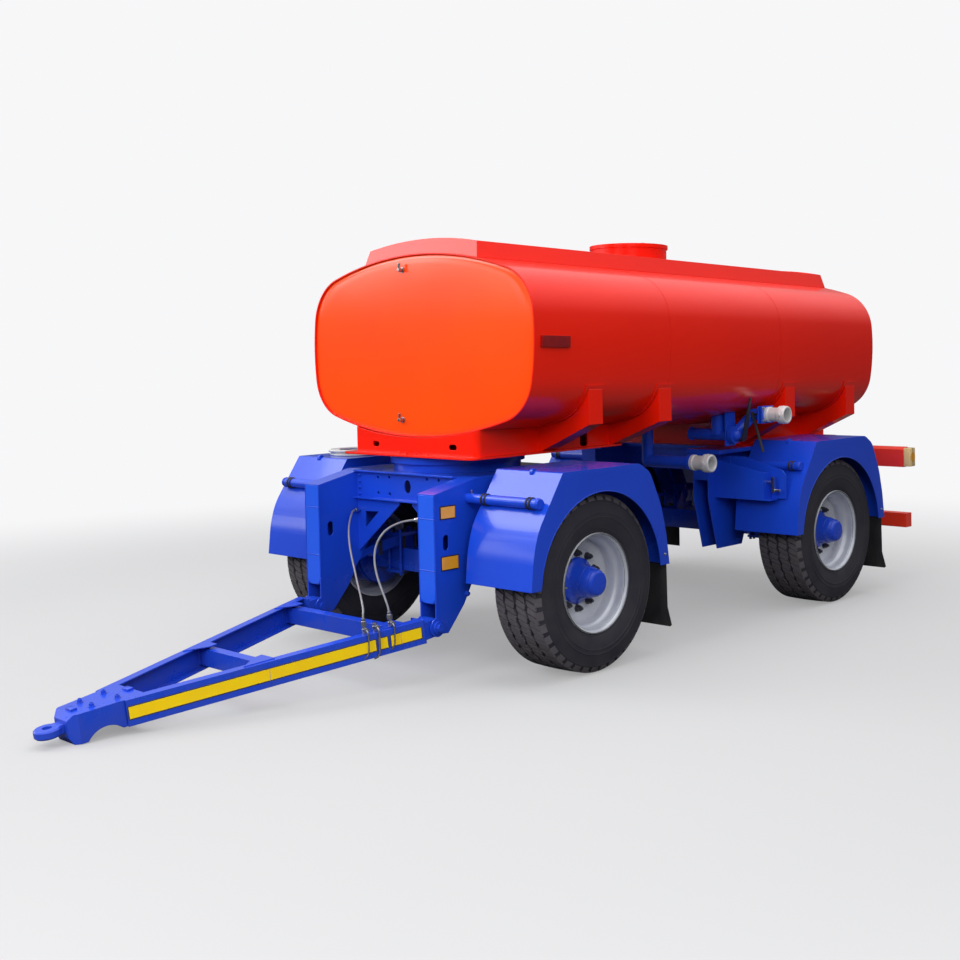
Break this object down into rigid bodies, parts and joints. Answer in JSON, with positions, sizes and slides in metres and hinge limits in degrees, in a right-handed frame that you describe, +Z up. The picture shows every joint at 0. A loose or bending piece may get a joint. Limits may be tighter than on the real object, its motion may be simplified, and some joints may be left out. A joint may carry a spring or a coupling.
{
  "type": "two-axle water tank trailer",
  "caption": "Full trailer with a long flattened-oval water tank on a steered front bogie and a rear axle, hinged drawbar with a towing eye, manhole, side discharge valves and fenders",
  "frame": {"origin": "on the ground, in the middle of the trailer's length and width, drawbar included", "axes": "+X forward along the drawbar, +Y to the trailer's left, +Z up"},
  "size_m": [6.8532, 2.5, 2.695],
  "materials": {
    "frame_blue": "glossy enamel",
    "tank_red": "glossy enamel",
    "lamp_bar_red": "glossy enamel",
    "rim_silver": "satin silver enamel",
    "tyre_black": "moulded rubber",
    "flap_black": "sheet rubber",
    "chassis_black": "satin black",
    "bright_steel": "zinc plated",
    "coupling_alloy": "machined",
    "lens_red": "prismatic lens",
    "lens_amber": "prismatic lens",
    "hose_black": "moulded rubber",
    "hose_white": "translucent hose"
  },
  "bodies": {
    "chassis": {"tank_shell": "tank_red", "manhole_neck": "tank_red", "tank_coaming": "tank_red", "front_cradle": "tank_red", "rear_cradle": "tank_red", "saddle_doublers": "tank_red", "slewing_ring_upper": "frame_blue", "rear_frame": "frame_blue", "rear_axle": "frame_blue", "rear_springs": "frame_blue", "rear_brake_gear": "frame_blue", "rear_fenders": "frame_blue", "rear_fender_tubes": "frame_blue", "rear_mudflaps": "flap_black", "light_bar": "lamp_bar_red", "underrun_bar": "lamp_bar_red", "tail_lamps": "lens_red", "end_lamps": "lens_amber", "discharge_pipes": "frame_blue", "upper_outlet_coupling": "coupling_alloy", "lower_outlet_coupling": "coupling_alloy", "valve_levers": "chassis_black", "parking_brake_bracket": "frame_blue", "parking_brake_spindle": "bright_steel", "air_canister": "chassis_black", "side_reflectors": "lens_red", "gauge_taps": "bright_steel"},
    "lid": {"manhole_lid": "tank_red"},
    "bogie": {"bogie_frame": "frame_blue", "drawbar_pins": "frame_blue", "bogie_reflectors": "lens_amber", "slewing_ring_lower": "frame_blue", "front_axle": "frame_blue", "front_springs": "frame_blue", "front_brake_gear": "frame_blue", "front_fenders": "frame_blue", "front_fender_tubes": "frame_blue", "front_mudflaps": "flap_black", "hose_hank": "hose_white", "supply_hose": "hose_black", "service_hose": "hose_black"},
    "drawbar": {"drawbar_frame": "frame_blue", "towing_eye": "frame_blue", "line_unions": "bright_steel"},
    "wheel_front_left": {"tyre_front_left": "tyre_black", "rim_front_left": "rim_silver", "hub_front_left": "frame_blue"},
    "wheel_front_right": {"tyre_front_right": "tyre_black", "rim_front_right": "rim_silver", "hub_front_right": "frame_blue"},
    "wheel_rear_left": {"tyre_rear_left": "tyre_black", "rim_rear_left": "rim_silver", "hub_rear_left": "frame_blue"},
    "wheel_rear_right": {"tyre_rear_right": "tyre_black", "rim_rear_right": "rim_silver", "hub_rear_right": "frame_blue"}
  },
  "joints": [
    {"name": "bogie_turn", "type": "hinge", "parent": "chassis", "child": "bogie", "pos_m": [0.48338, 0, 1.225], "axis": [0, 0, 1], "range_deg": [-90, 90]},
    {"name": "drawbar_pitch", "type": "hinge", "parent": "bogie", "child": "drawbar", "pos_m": [1.25338, 0, 0.325], "axis": [0, -1, 0], "range_deg": [-8, 45], "deforming": ["supply_hose", "service_hose"]},
    {"name": "lid_hinge", "type": "hinge", "parent": "chassis", "child": "lid", "pos_m": [-1.65405, 0, 2.66656], "axis": [0, -1, 0], "range_deg": [0, 100]},
    {"name": "front_left_wheel", "type": "hinge", "parent": "bogie", "child": "wheel_front_left", "pos_m": [0.48338, 1, 0.536], "axis": [0, 1, 0], "continuous": true},
    {"name": "front_right_wheel", "type": "hinge", "parent": "bogie", "child": "wheel_front_right", "pos_m": [0.48338, -1, 0.536], "axis": [0, 1, 0], "continuous": true},
    {"name": "rear_left_wheel", "type": "hinge", "parent": "chassis", "child": "wheel_rear_left", "pos_m": [-2.28162, 1, 0.536], "axis": [0, 1, 0], "continuous": true},
    {"name": "rear_right_wheel", "type": "hinge", "parent": "chassis", "child": "wheel_rear_right", "pos_m": [-2.28162, -1, 0.536], "axis": [0, 1, 0], "continuous": true}
  ]
}
